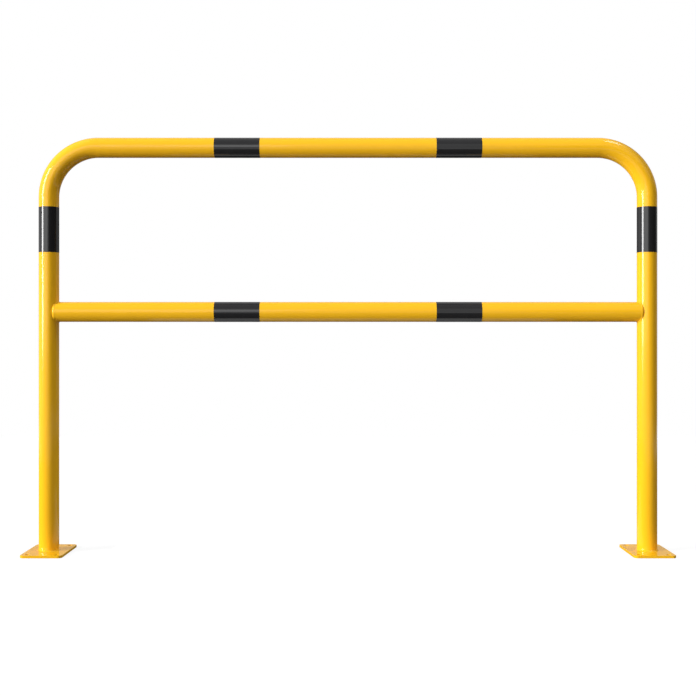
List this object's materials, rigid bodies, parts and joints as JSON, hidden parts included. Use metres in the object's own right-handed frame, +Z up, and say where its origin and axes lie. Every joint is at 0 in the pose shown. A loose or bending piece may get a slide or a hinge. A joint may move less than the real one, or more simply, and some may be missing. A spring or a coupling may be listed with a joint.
{
  "type": "impact protection barrier",
  "caption": "Tubular steel hoop guard with rounded corners, a welded mid rail and a drilled base plate under each leg, powder coated yellow with black warning bands.",
  "frame": {"origin": "on the floor, midway between the two legs", "axes": "+X along the barrier towards its right leg as seen in the picture, +Y across it, away from the viewer, +Z up"},
  "size_m": [1.5516, 0.16, 1.0062],
  "materials": {
    "powder_coat": "gloss powder coat over welded steel",
    "band_film": "gloss self-adhesive film"
  },
  "bodies": {
    "root": {"hoop_tube": "powder_coat", "mid_rail": "powder_coat", "base_plate_left": "powder_coat", "base_plate_right": "powder_coat", "foot_weld_left": "powder_coat", "foot_weld_right": "powder_coat", "rail_weld_left": "powder_coat", "rail_weld_right": "powder_coat", "band_top_left": "band_film", "band_top_right": "band_film", "band_rail_left": "band_film", "band_rail_right": "band_film", "band_leg_left": "band_film", "band_leg_right": "band_film"}
  },
  "joints": []
}
